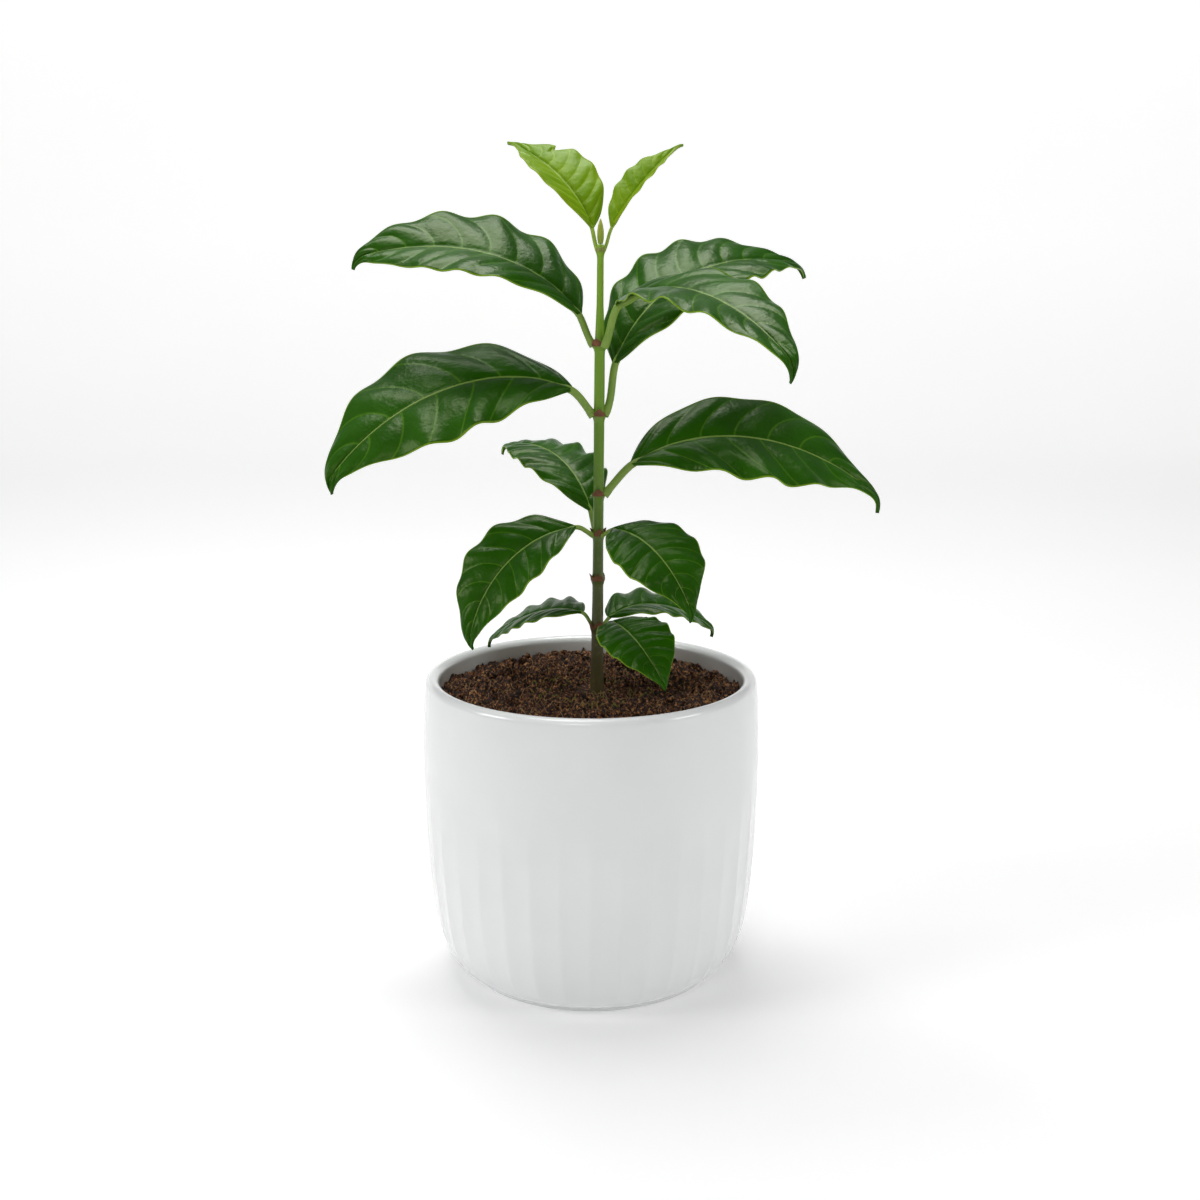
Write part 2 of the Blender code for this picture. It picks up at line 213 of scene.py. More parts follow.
def pot_outline():
    """Radius and height all round the pot's section, from the underside's middle to the floor's."""
    outside = rounded([(r, z) for z, r in POT_OUTSIDE], OUTSIDE_STEPS)
    foot = [(FOOT_RADIUS - 0.0006, 0.0), (FOOT_RADIUS, 0.0003), (FOOT_RADIUS + 0.0001, 0.0016),
            (FOOT_RADIUS + 0.0012 - FOOT_GROOVE, 0.0021)]
    bead = [(LIP_RADIUS + LIP_BEAD * cos(a), LIP_HEIGHT + LIP_BEAD * sin(a))
            for a in np.linspace(0, pi, LIP_STEPS + 1)]
    inside = [(r - POT_WALL, z) for z, r in reversed(POT_OUTSIDE) if z > POT_FLOOR]
    floor = [(FOOT_RADIUS, POT_FLOOR), (0.0, POT_FLOOR)]
    return np.array([(0.0, 0.0), *foot, *outside, *bead, *rounded(inside, INSIDE_STEPS), *floor])


outline = pot_outline()
steps_along = np.r_[0.0, np.cumsum(np.linalg.norm(np.diff(outline, axis=0), axis=1))]
rows = np.interp(np.linspace(0, 1, POT_ALONG + 1), np.linspace(0, 1, len(outline)), steps_along)
points_below_wall = 5
lip_run = steps_along[points_below_wall + OUTSIDE_STEPS * (len(POT_OUTSIDE) - 1)]


def pot_place(u, v):
    run = float(np.interp(v, np.linspace(0, 1, len(rows)), rows))
    radius = float(np.interp(run, steps_along, outline[:, 0]))
    height = float(np.interp(run, steps_along, outline[:, 1]))
    turn = 2.0 * pi * u
    if run < lip_run:
        fade = (1.0 - ease(height, *FLUTE_FADE)) * ease(height, *FLUTE_FOOT)
        radius -= FLUTE_DEPTH * fade * abs(sin(0.5 * FLUTES * turn))
    return Vector((radius * cos(turn), radius * sin(turn), height))


def glaze_material():
    # Gloss white glaze on stoneware, fired on: a glassy coat over a white body, a little
    # thinner and greyer where it runs. It ripples faintly, in waves of about 36 mm and
    # finer ones on them, and its gloss changes over about 12 mm.
    made, tree, shader = new_material("white gloss glaze")
    place = node(tree, "ShaderNodeTexCoord").outputs["Object"]
    cloud = node(tree, "ShaderNodeTexNoise", {"Vector": place, "Scale": 28.0, "Detail": 3.0}).outputs["Fac"]
    tone = node(tree, "ShaderNodeMix", {"Factor": cloud, "A": linear("#e6e8e8"), "B": linear("#eff0f0")},
                data_type="RGBA")
    tree.links.new(tone.outputs["Result"], shader.inputs["Base Color"])
    fine = node(tree, "ShaderNodeTexNoise", {"Vector": place, "Scale": 80.0, "Detail": 2.0}).outputs["Fac"]
    rough = node(tree, "ShaderNodeMapRange", {"Value": fine, "To Min": 0.16, "To Max": 0.26})
    tree.links.new(rough.outputs["Result"], shader.inputs["Roughness"])
    bump = node(tree, "ShaderNodeBump", {"Height": cloud, "Strength": 0.12, "Distance": 0.001})
    tree.links.new(bump.outputs["Normal"], shader.inputs["Normal"])
    shader.inputs["IOR"].default_value = 1.5
    shader.inputs["Coat Weight"].default_value = 0.4
    shader.inputs["Coat Roughness"].default_value = 0.05
    return made


pot = shaped_grid("glazed_pot", POT_AROUND, POT_ALONG, pot_place, closed=True)
pot.data.materials.append(glaze_material())
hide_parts("pot")
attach(pot, "root")


# The potting mix: moist dark peat with coir, loosely filled to just under the
# rim. Its top is crumbly, and pale fibres and a little moss lie on it.
SOIL_TOP = 0.1124
SOIL_RADIUS = 0.0599
SOIL_DEPTH = 0.030
SOIL_TILT = 0.0010
CRUMB_MM = 3.2
CRUMB_HEIGHT = 0.0029
STEM_CLEARANCE = 0.0045
SOIL_AROUND = 320
SOIL_ROWS = 130
SOIL_TOP_SHARE = 0.9
SWELL_HEIGHT = 0.0018
CALM_END = 0.016
EDGE_START = 0.048
EDGE_DROP = 0.0016
CRUMBS = 620
CRUMB_SIZES = (0.0005, 0.0018)
FIBRES = 200
FIBRE_LENGTHS = (0.003, 0.008)
MOSS_STRANDS = 70
MOSS_LENGTHS = (0.002, 0.004)
STRAND_STEPS = 5
SOIL_SEED = 7
CRUMB_REACH = (0.006, 0.056)
FIBRE_REACH = (0.008, 0.050)
FIBRE_LIFT = 0.0008
FIBRE_RADIUS = 0.00012
MOSS_REACH = (0.006, 0.026)
MOSS_LIFT = 0.0012
MOSS_RADIUS = 0.00014
LYING_CLEAR = 0.0003
SWELLS_PER_METRE = 60
ROW_SPREAD = 0.8
SKIRT_INSET = 0.002
SKIRT_DROP = 0.0012


def soil_height(x, y):
    """The height of the crumbly surface, calmer at the stem and lower at the wall."""
    scale = 1000.0 / CRUMB_MM
    lumps = noise.fractal(Vector((x * scale, y * scale, 1.7)), 0.7, 2.2, 4)
    swell = noise.noise(Vector((x * SWELLS_PER_METRE, y * SWELLS_PER_METRE, 4.0)))
    reach = sqrt(x * x + y * y)
    calm = ease(reach, STEM_CLEARANCE, CALM_END)
    edge = -EDGE_DROP * ease(reach, EDGE_START, SOIL_RADIUS)
    rough = calm * (CRUMB_HEIGHT * lumps + SWELL_HEIGHT * swell)
    return SOIL_TOP + SOIL_TILT * y / SOIL_RADIUS + edge + rough


def soil_place(u, v):
    turn = 2.0 * pi * u
    if v <= SOIL_TOP_SHARE:
        radius = SOIL_RADIUS * (v / SOIL_TOP_SHARE) ** ROW_SPREAD
        x, y = radius * cos(turn), radius * sin(turn)
        return Vector((x, y, soil_height(x, y)))
    drop = (v - SOIL_TOP_SHARE) / (1.0 - SOIL_TOP_SHARE)
    shrink = SOIL_RADIUS - SKIRT_INSET * min(2.0 * drop, 1.0)
    radius = shrink if drop < 0.5 else shrink * 2.0 * (1.0 - drop)
    depth = SOIL_DEPTH * min(2.0 * drop, 1.0)
    x, y = radius * cos(turn), radius * sin(turn)
    return Vector((x, y, SOIL_TOP - SKIRT_DROP - depth))


def soil_material():
    # Moist peat with coir: dark brown, matt, with paler and redder grains a few mm across,
    # and painted shade that darkens the hollows between them.
    made, tree, shader = new_material("peat potting mix")
    place = node(tree, "ShaderNodeTexCoord").outputs["Object"]
    grains = node(tree, "ShaderNodeTexVoronoi", {"Vector": place, "Scale": 420.0})
    fine = node(tree, "ShaderNodeTexNoise", {"Vector": place, "Scale": 900.0, "Detail": 6.0})
    specks = fine.outputs["Fac"]
    ramp = node(tree, "ShaderNodeValToRGB", {"Fac": specks})
    for place_on, colour in ((0.36, "#0b0502"), (0.48, "#3a1e0c"), (0.57, "#7c4a24"), (0.66, "#c4925a")):
        stop = ramp.color_ramp.elements.new(place_on)
        stop.color = linear(colour)
    ramp.color_ramp.elements.remove(ramp.color_ramp.elements[0])
    ramp.color_ramp.elements.remove(ramp.color_ramp.elements[-1])
    # Painted shade: the colour darkens towards the edges of cells a few mm across, in the hollows between
    # grains.
    hollow_shade = node(tree, "ShaderNodeMapRange", {"Value": grains.outputs["Distance"], "From Max": 0.9,
                                               "To Min": 1.0, "To Max": 0.45}).outputs["Result"]
    tint = node(tree, "ShaderNodeMix", {"Factor": 1.0, "A": ramp.outputs["Color"], "B": hollow_shade},
                data_type="RGBA", blend_type="MULTIPLY")
    tree.links.new(tint.outputs["Result"], shader.inputs["Base Color"])
    bump = node(tree, "ShaderNodeBump", {"Height": specks, "Strength": 0.8, "Distance": 0.0008})
    tree.links.new(bump.outputs["Normal"], shader.inputs["Normal"])
    shader.inputs["Roughness"].default_value = 0.92
    return made


def fibre_material(name, dark, pale):
    # Coir fibre or moss: dry and matt, in tones that change along its length.
    made, tree, shader = new_material(name)
    place = node(tree, "ShaderNodeTexCoord").outputs["Object"]
    tone = node(tree, "ShaderNodeTexNoise", {"Vector": place, "Scale": 150.0}).outputs["Fac"]
    mixed = node(tree, "ShaderNodeMix", {"Factor": tone, "A": linear(dark), "B": linear(pale)},
                 data_type="RGBA")
    tree.links.new(mixed.outputs["Result"], shader.inputs["Base Color"])
    shader.inputs["Roughness"].default_value = 0.85
    return made


def joined(name, pieces):
    """One object of all the pieces, with its origin at the world's."""
    bpy.ops.object.select_all(action="DESELECT")
    for piece in pieces:
        piece.select_set(True)
    bpy.context.view_layer.objects.active = pieces[0]
    bpy.ops.object.join()
    made = bpy.context.object
    bpy.ops.object.transform_apply(location=True, rotation=True, scale=True)
    made.name = made.data.name = name
    return made


def crumb(place, size, turn):
    """A rough grain of peat, a little longer than it is wide."""
    bpy.ops.mesh.primitive_ico_sphere_add(subdivisions=1, radius=size, location=place, rotation=turn)
    made = bpy.context.object
    for vertex in made.data.vertices:
        vertex.co *= 0.75 + 0.5 * noise.noise(vertex.co * 900 + Vector(place) * 500)
        vertex.co.x *= 1.5
    return made


def strand(name, points, thickness, shares=None, roundness=1, caps=False):
    """A round strand through the points, as a mesh; shares scale its thickness at each point."""
    curve = bpy.data.curves.new(name, "CURVE")
    curve.dimensions = "3D"
    curve.bevel_depth = thickness
    curve.bevel_resolution = roundness
    curve.use_fill_caps = caps
    spline = curve.splines.new("POLY")
    spline.points.add(len(points) - 1)
    for knot, point, share in zip(spline.points, points, shares or [1.0] * len(points)):
        knot.co = (*point, 1.0)
        knot.radius = share
    made = bpy.data.objects.new(name, curve)
    bpy.context.scene.collection.objects.link(made)
    bpy.ops.object.select_all(action="DESELECT")
    made.select_set(True)
    bpy.context.view_layer.objects.active = made
    bpy.ops.object.convert(target="MESH")
    return bpy.context.object


def spot_on_soil(chance, inner, outer):
    turn = chance.uniform(0, 2 * pi)
    reach = sqrt(chance.uniform(inner ** 2, outer ** 2))
    return reach * cos(turn), reach * sin(turn)


def curled_points(chance, x, y, length, lift):
    """Points of a fibre that lies on the soil, curving as it goes."""
    heading, points = chance.uniform(0, 2 * pi), []
    curl = chance.uniform(-0.5, 0.5)
    for i in range(STRAND_STEPS + 1):
        share = i / STRAND_STEPS
        points.append((x, y, soil_height(x, y) + LYING_CLEAR + lift * sin(pi * share)))
        x += length / STRAND_STEPS * cos(heading)
        y += length / STRAND_STEPS * sin(heading)
        heading += curl
    return points


soil = shaped_grid("potting_mix", SOIL_AROUND, SOIL_ROWS, soil_place, closed=True)
peat = soil_material()
soil.data.materials.append(peat)
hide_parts("soil")
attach(soil, "root")

chance = random.Random(SOIL_SEED)
crumbs = []
for _ in range(CRUMBS):
    x, y = spot_on_soil(chance, *CRUMB_REACH)
    size = chance.uniform(*CRUMB_SIZES)
    turn = [chance.uniform(0, pi) for _ in range(3)]
    crumbs.append(crumb((x, y, soil_height(x, y) + 0.3 * size), size, turn))
crumbs = joined("peat_crumbs", crumbs)
crumbs.data.materials.append(peat)
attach(crumbs, "root")

fibres = []
for _ in range(FIBRES):
    x, y = spot_on_soil(chance, *FIBRE_REACH)
    length = chance.uniform(*FIBRE_LENGTHS)
    points = curled_points(chance, x, y, length, FIBRE_LIFT)
    fibres.append(strand("fibre", points, FIBRE_RADIUS))
fibres = joined("coir_fibres", fibres)
fibres.data.materials.append(fibre_material("coir fibre", "#5d4027", "#a58257"))
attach(fibres, "root")

tufts = []
for _ in range(MOSS_STRANDS):
    x, y = spot_on_soil(chance, *MOSS_REACH)
    length = chance.uniform(*MOSS_LENGTHS)
    points = curled_points(chance, x, y, length, MOSS_LIFT)
    tufts.append(strand("moss", points, MOSS_RADIUS))
tufts = joined("moss_strands", tufts)
tufts.data.materials.append(fibre_material("dry moss", "#4d4a1c", "#8c8a3c"))
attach(tufts, "root")


# The stem: a green shoot that turns brown and woody towards the soil, with a
# swollen node under each leaf and a ring scar where a pair has fallen.
STEM_FOOT = SOIL_TOP
STEM_TOP = 0.2840
STEM_FOOT_X = 0.0023
STEM_TOP_X = 0.0037
STEM_GIRTH = [(STEM_FOOT, 0.0027), (0.125, 0.0024), (0.150, 0.0021), (0.170, 0.0020),
              (0.205, 0.0020), (0.238, 0.0020), (0.247, 0.0019), (0.262, 0.0013), (STEM_TOP, 0.0012)]
NODE_REACH = 0.0028
STEM_SINK = 0.0008
STEM_AROUND = 32
STEM_ALONG = 420
END_SHARE = 0.01
WOODY_SPAN = (0.13, 0.19)
RIDGES_ROUND = 3
RIDGES_PER_METRE = 70
RIDGE_DEPTH = 0.03
WOODY_RIDGES = 6
WOODY_TWIST = 40
WOODY_DEPTH = 0.02
RING_SCAR = (0.157, 0.0006)
NODE_SWELLING = {"bottom": (0.138, 0.0006), "lower": (0.1745, 0.0005), "side": (0.1900, 0.0005),
                 "middle": (0.2205, 0.0006), "upper": (0.2468, 0.0011), "crown": (0.2815, 0.0005)}


def stem_x(height):
    return float(np.interp(height, (STEM_FOOT, STEM_TOP), (STEM_FOOT_X, STEM_TOP_X)))


def stem_radius(height):
    heights, radii = zip(*STEM_GIRTH)
    radius = float(np.interp(height, heights, radii))
    for centre, swelling in [*NODE_SWELLING.values(), RING_SCAR]:
        radius += swelling * float(np.exp(-((height - centre) / (0.5 * NODE_REACH)) ** 2))
    return radius


def stem_place(u, v):
    """The stem's skin, with shallow ridges along it, closed to a point inside at both ends."""
    turn = 2.0 * pi * u
    share = min(max((v - END_SHARE) / (1.0 - 2.0 * END_SHARE), 0.0), 1.0)
    height = STEM_FOOT - STEM_SINK + share * (STEM_TOP - STEM_FOOT + STEM_SINK)
    radius = stem_radius(height)
    woody = 1.0 - ease(height, *WOODY_SPAN)
    spot = Vector((RIDGES_ROUND * cos(turn), RIDGES_ROUND * sin(turn), height * RIDGES_PER_METRE))
    ridges = RIDGE_DEPTH * noise.noise(spot)
    twisted = WOODY_DEPTH * woody * cos(WOODY_RIDGES * turn + WOODY_TWIST * height)
    radius *= 1.0 + ridges + twisted
    if v < 0.5 * END_SHARE or v > 1.0 - 0.5 * END_SHARE:
        radius = 0.0
    return Vector((stem_x(height) + radius * cos(turn), radius * sin(turn), height))


def stem_material():
    # Young coffee stem: smooth waxy green bark, bright at the tip, olive and then brown
    # near the soil, with red-brown bands at the nodes and pale flecks under a millimetre.
    made, tree, shader = new_material("green bark")
    place = node(tree, "ShaderNodeTexCoord").outputs["Object"]
    height = node(tree, "ShaderNodeSeparateXYZ", {"Vector": place}).outputs["Z"]
    share = node(tree, "ShaderNodeMapRange", {"Value": height, "From Min": 0.112, "From Max": 0.286})
    ramp = node(tree, "ShaderNodeValToRGB", {"Fac": share.outputs["Result"]})
    ramp.color_ramp.elements[0].color = linear("#4a4020")
    ramp.color_ramp.elements[1].color = linear("#86b020")
    for place_on, colour in ((0.16, "#4b4a1f"), (0.30, "#4a6014"), (0.45, "#567c10"), (0.78, "#6a9418")):
        stop = ramp.color_ramp.elements.new(place_on)
        stop.color = linear(colour)
    tone = ramp.outputs["Color"]
    for centre, _ in [*NODE_SWELLING.values(), RING_SCAR]:
        away = node(tree, "ShaderNodeMath", {0: height, 1: centre + 0.0006}, operation="SUBTRACT")
        away = away.outputs[0]
        away = node(tree, "ShaderNodeMath", {0: away}, operation="ABSOLUTE").outputs[0]
        band = node(tree, "ShaderNodeMapRange", {"Value": away, "From Min": 0.0004, "From Max": 0.0014,
                                                 "To Min": 0.55, "To Max": 0.0})
        tone = node(tree, "ShaderNodeMix", {
            "Factor": band.outputs["Result"], "A": tone, "B": linear("#6b3f22")},
                    data_type="RGBA").outputs["Result"]
    fine = node(tree, "ShaderNodeTexNoise", {"Vector": place, "Scale": 700.0, "Detail": 4.0})
    flecks = fine.outputs["Fac"]
    speck = node(tree, "ShaderNodeMapRange", {"Value": flecks, "From Min": 0.56, "From Max": 0.70,
                                              "To Min": 0.0, "To Max": 0.2})
    tone = node(tree, "ShaderNodeMix", {
        "Factor": speck.outputs["Result"], "A": tone, "B": linear("#8a8350")},
                data_type="RGBA").outputs["Result"]
    tree.links.new(tone, shader.inputs["Base Color"])
    bump = node(tree, "ShaderNodeBump", {"Height": flecks, "Strength": 0.3, "Distance": 0.0003})
    tree.links.new(bump.outputs["Normal"], shader.inputs["Normal"])
    shader.inputs["Roughness"].default_value = 0.42
    return made


stem = shaped_grid("green_stem", STEM_AROUND, STEM_ALONG, stem_place, closed=True)
bark = stem_material()
stem.data.materials.append(bark)
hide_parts("stem")
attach(stem, "root")


# The stipules: small pointed scales between the leaf stalks at each node, dry
# and red-brown on the old nodes.
STIPULE_LENGTH = 0.0028
STIPULE_SPREAD = radians(65)
STIPULE_CLEAR = 0.00015
STIPULE_LEAN = 0.0007
STIPULE_THICKNESS = 0.0002
STIPULE_AROUND = 8
STIPULE_ROWS = 6
SCAR_DROP = 0.0002
STIPULES = {"bottom": (-70, 100, 190), "ring_scar": (-90, 60, 200), "lower": (-80, 20, 170),
            "side": (-90, 95), "middle": (-90, 110), "upper": (-115, 60)}


def stipule_material():
    # Dried stipule: papery, red-brown, streaked along its length.
    made, tree, shader = new_material("dry stipule")
    place = node(tree, "ShaderNodeTexCoord").outputs["Object"]
    fine = node(tree, "ShaderNodeTexNoise", {"Vector": place, "Scale": 500.0, "Detail": 3.0})
    streak = fine.outputs["Fac"]
    tone = node(tree, "ShaderNodeMix", {"Factor": streak, "A": linear("#4a2a17"), "B": linear("#8a5a33")},
                data_type="RGBA")
    tree.links.new(tone.outputs["Result"], shader.inputs["Base Color"])
    shader.inputs["Roughness"].default_value = 0.7
    return made


def stipule(height, facing):
    """One scale that clasps the stem at the height and stands away from it at its tip."""
    def place(u, v):
        turn = facing + (u - 0.5) * 2.0 * STIPULE_SPREAD * (1.0 - v) ** 0.8
        level = height + v * STIPULE_LENGTH
        radius = stem_radius(height) + STIPULE_CLEAR + STIPULE_LEAN * v ** 2
        return Vector((stem_x(level) + radius * cos(turn), radius * sin(turn), level))
    made = shaped_grid("stipule", STIPULE_AROUND, STIPULE_ROWS, place)
    wall = made.modifiers.new("wall", "SOLIDIFY")
    wall.thickness = STIPULE_THICKNESS
    bpy.ops.object.modifier_apply(modifier="wall")
    return made


scales = []
for stem_node, facings in STIPULES.items():
    on_scar = stem_node == "ring_scar"
    height = RING_SCAR[0] - SCAR_DROP if on_scar else NODE_SWELLING[stem_node][0]
    scales += [stipule(height, radians(facing)) for facing in facings]
scales = joined("stipules", scales)
scales.data.materials.append(stipule_material())
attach(scales, "root")


# The terminal bud: two soft scales folded over the growing tip, waxy and
# yellow-green, that come to a point.
BUD_LENGTH = 0.0095
BUD_RADIUS = 0.00125
BUD_CREASE = 0.12
BUD_AROUND = 24
BUD_ALONG = 40
BUD_SHARES = (0.0, 0.02, 0.25, 0.5, 0.75, 0.93, 1.0)
BUD_GIRTHS = (0.0, 0.75, 1.0, 1.0, 0.7, 0.28, 0.0)


def bud_place(u, v):
    turn = 2.0 * pi * u
    girth = float(np.interp(v, BUD_SHARES, BUD_GIRTHS))
    crease = 1.0 - BUD_CREASE * abs(sin(turn)) ** 8
    radius = BUD_RADIUS * girth * crease
    return Vector((STEM_TOP_X + radius * cos(turn), radius * sin(turn), STEM_TOP + v * BUD_LENGTH))


def bud_material():
    # Bud scale: soft waxy tissue, green at its foot and yellow at its tip.
    made, tree, shader = new_material("bud scale")
    place = node(tree, "ShaderNodeTexCoord").outputs["Object"]
    height = node(tree, "ShaderNodeSeparateXYZ", {"Vector": place}).outputs["Z"]
    share = node(tree, "ShaderNodeMapRange", {
        "Value": height, "From Min": STEM_TOP, "From Max": STEM_TOP + BUD_LENGTH})
    mottle = node(tree, "ShaderNodeTexNoise", {"Vector": place, "Scale": 600.0}).outputs["Fac"]
    tone = node(tree, "ShaderNodeMix", {"Factor": share.outputs["Result"], "A": linear("#7d9a24"),
                                        "B": linear("#c6c040")}, data_type="RGBA").outputs["Result"]
    tone = node(tree, "ShaderNodeMix", {"Factor": mottle, "A": tone, "B": linear("#8aa02a")},
                data_type="RGBA")
    tree.links.new(tone.outputs["Result"], shader.inputs["Base Color"])
    shader.inputs["Roughness"].default_value = 0.4
    return made


bud = shaped_grid("leaf_bud", BUD_AROUND, BUD_ALONG, bud_place, closed=True)
bud.data.materials.append(bud_material())
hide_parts("terminal_bud")
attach(bud, "root")


# The leaves: leathery evergreen blades, glossy above and paler beneath, quilted
# between the side veins, each on a short stalk that runs on as the midrib.
TIP_TAPER = 1.08
DRIP_SPAN = (0.62, 0.95)
HOOK_SPAN = (0.90, 1.0)
MARGIN_CURL = 0.12
MARGIN_SKEW = 0.02
WAVE_CROWD = 1.1
WAVE_LEAD = 0.10
WAVE_SIDEWAYS = 0.25
VEIN_LEAD = 0.15
VEIN_BEND = 1.6
VEINS_PER_WAVE = 1.7
QUILT_DEPTH = 0.018
QUILT_ROUNDNESS = 0.7
QUILT_REACH = 1.05
MIDRIB_GROOVE = 0.0004
GROOVE_SHARE = 0.08
BLADE_THICKNESS = 0.00045
STALK_GIRTH = 0.0135
STALK_THINNEST = 0.00055
STALK_FLARE = 0.25
STALK_STEPS = 9
MIDRIB_SHARE = 0.85
MIDRIB_TIP = 0.12
MIDRIB_STEP = 3
MIDRIB_PROUD = 0.00022
RAGGED_BEATS = 900
RAGGED_DEPTH = 0.5
TEAR_STEEPNESS = 1.8
STALK_IN_STEM = 0.0004
STALK_FLARE_END = 0.3
MIDRIB_TAPER = 1.5
MIDRIB_SINK_END = 0.06
FOOT_STEEPEST = 50
ACROSS = 36
ALONG = 150

# Angles in degrees, lengths in metres. Each heading is counted from +X towards +Y, and what
# a leaf doesn't state is in USUAL. These values weren't chosen by hand: a least-squares
# solver outside this script fitted them to the photo and rounded them. A few were changed a
# little since, and only the torn places were judged. The curl, skew and crowding above,
# which all leaves share, are those that the fit held.
USUAL = dict(bend=0.7, widest=0.44, drip=0.2, torn_hand=0, torn_at=0.0, torn_span=1.0, torn_depth=0.0)
LEAVES = {
    "leaf_crown_left": dict(
        stem_node="crown", heading=133, reach=0.0045, lift=0.0080, rise=69, droop=17,
        sweep=4, roll=7, twist=7, fold=25, length=0.058, width=0.029, hook=10, waves=5.8,
        wave_left=0.0004, wave_right=0.0004, phase_left=0.35, phase_right=0.30, bend=0.55,
        widest=0.46, drip=0.5, torn_hand=1, torn_at=0.66, torn_span=0.05, torn_depth=0.22),
    "leaf_crown_right": dict(
        stem_node="crown", heading=37, reach=0.0052, lift=0.0085, rise=57, droop=32,
        sweep=3, roll=0, twist=-9, fold=34, length=0.047, width=0.018, hook=20, waves=5.7,
        wave_left=0.0004, wave_right=0.0004, phase_left=0.7, phase_right=0.1, drip=0.5),
    "leaf_upper_left": dict(
        stem_node="upper", heading=158, reach=0.0082, lift=0.0110, rise=60, droop=-18,
        sweep=29, roll=8, twist=31, fold=13, length=0.098, width=0.051, hook=50, waves=5.4,
        wave_left=0.0008, wave_right=0.0014, phase_left=0.5, phase_right=0.4, bend=0.65, drip=0),
    "leaf_upper_front": dict(
        stem_node="upper", heading=-49, reach=0.0098, lift=0.0145, rise=49, droop=-36,
        sweep=-11, roll=-22, twist=22, fold=12, length=0.109, width=0.036, hook=80, waves=5.0,
        wave_left=0.0010, wave_right=0.0016, phase_left=0.45, phase_right=0.15, bend=0.45, drip=0.1),
    "leaf_middle_left": dict(
        stem_node="middle", heading=184, reach=0.0102, lift=0.0095, rise=35, droop=-51,
        sweep=30, roll=26, twist=3, fold=4, length=0.110, width=0.055, hook=50, waves=4.3,
        wave_left=0.0020, wave_right=0.0014, phase_left=0.65, phase_right=0.95, bend=0.6),
    "leaf_middle_right": dict(
        stem_node="middle", heading=33, reach=0.0072, lift=0.0190, rise=72, droop=-18,
        sweep=-3, roll=-6, twist=-18, fold=12, length=0.107, width=0.052, hook=45, waves=6.6,
        wave_left=0.0012, wave_right=0.0014, phase_left=0.55, phase_right=0.5, bend=0.75),
    "leaf_side_right": dict(
        stem_node="side", heading=9, reach=0.0123, lift=0.0111, rise=40, droop=-45,
        sweep=-1, roll=-33, twist=-2, fold=8, length=0.113, width=0.048, hook=50, waves=5.0,
        wave_left=0.0006, wave_right=0.0022, phase_left=0.5, phase_right=0.25, widest=0.46, drip=0.5),
    "leaf_lower_left": dict(
        stem_node="lower", heading=205, reach=0.0095, lift=0.0038, rise=0, droop=-83,
        sweep=5, roll=24, twist=4, fold=12, length=0.068, width=0.033, hook=35, waves=5.2,
        wave_left=0.0014, wave_right=0.0010, phase_left=0.35, phase_right=0.7, bend=0.9),
    "leaf_lower_front": dict(
        stem_node="lower", heading=-49, reach=0.0084, lift=0.0032, rise=12, droop=-64,
        sweep=-1, roll=-16, twist=5, fold=9, length=0.057, width=0.035, hook=55, waves=5.5,
        wave_left=0.0006, wave_right=0.0010, phase_left=0.5, phase_right=0.4, bend=0.75, drip=0.4),
    "leaf_lower_back": dict(
        stem_node="lower", heading=115, reach=0.0067, lift=0.0080, rise=61, droop=-16,
        sweep=16, roll=-6, twist=16, fold=3, length=0.077, width=0.034, hook=55, waves=6.4,
        wave_left=0.0010, wave_right=0.0014, phase_left=0.9, phase_right=0.5, bend=0.65, drip=0.3),
    "leaf_bottom_left": dict(
        stem_node="bottom", heading=140, reach=0.0077, lift=0.0047, rise=11, droop=-45,
        sweep=13, roll=6, twist=19, fold=6, length=0.054, width=0.025, hook=45, waves=5.6,
        wave_left=0.0006, wave_right=0.0008, phase_left=0.0, phase_right=0.35, widest=0.40),
    "leaf_bottom_right": dict(
        stem_node="bottom", heading=38, reach=0.0058, lift=0.0030, rise=31, droop=-44,
        sweep=-25, roll=-2, twist=-21, fold=11, length=0.054, width=0.027, hook=65, waves=4.9,
        wave_left=0.0010, wave_right=0.0006, phase_left=0.85, phase_right=0.55, widest=0.37, drip=0),
    "leaf_bottom_front": dict(
        stem_node="bottom", heading=-63, reach=0.0130, lift=0.0048, rise=5, droop=-45,
        sweep=5, roll=-10, twist=-1, fold=15, length=0.044, width=0.029, hook=35, waves=6.0,
        wave_left=0.0006, wave_right=0.0008, phase_left=0.2, phase_right=0.6, bend=0.75,
        widest=0.41, torn_hand=-1, torn_at=0.20, torn_span=0.05, torn_depth=0.15),
}


def half_width(leaf, t, hand):
    """Half the blade's width at the share t of its length, on the left (-1) or right (1) hand."""
    rising = leaf["widest"] / (1.0 - leaf["widest"]) * TIP_TAPER
    peak = leaf["widest"] ** rising * (1.0 - leaf["widest"]) ** TIP_TAPER
    width = 0.5 * leaf["width"] * t ** rising * (1.0 - t) ** TIP_TAPER / peak
    width *= (1.0 - leaf["drip"] * ease(t, *DRIP_SPAN)) * (1.0 + MARGIN_SKEW * hand)
    if hand == leaf["torn_hand"]:
        inside = max(1.0 - abs(t - leaf["torn_at"]) / leaf["torn_span"], 0.0)
        ragged = 1.0 + RAGGED_DEPTH * sin(RAGGED_BEATS * t) if inside else 1.0
        width *= 1.0 - leaf["torn_depth"] * min(TEAR_STEEPNESS * inside, 1.0) * ragged
    return width


def turned_frame(pitch, heading, roll):
    along = np.array((cos(pitch) * cos(heading), cos(pitch) * sin(heading), sin(pitch)))
    side = np.array((sin(heading), -cos(heading), 0.0))
    up = np.cross(side, along)
    return along, side * cos(roll) + up * sin(roll), up * cos(roll) - side * sin(roll)


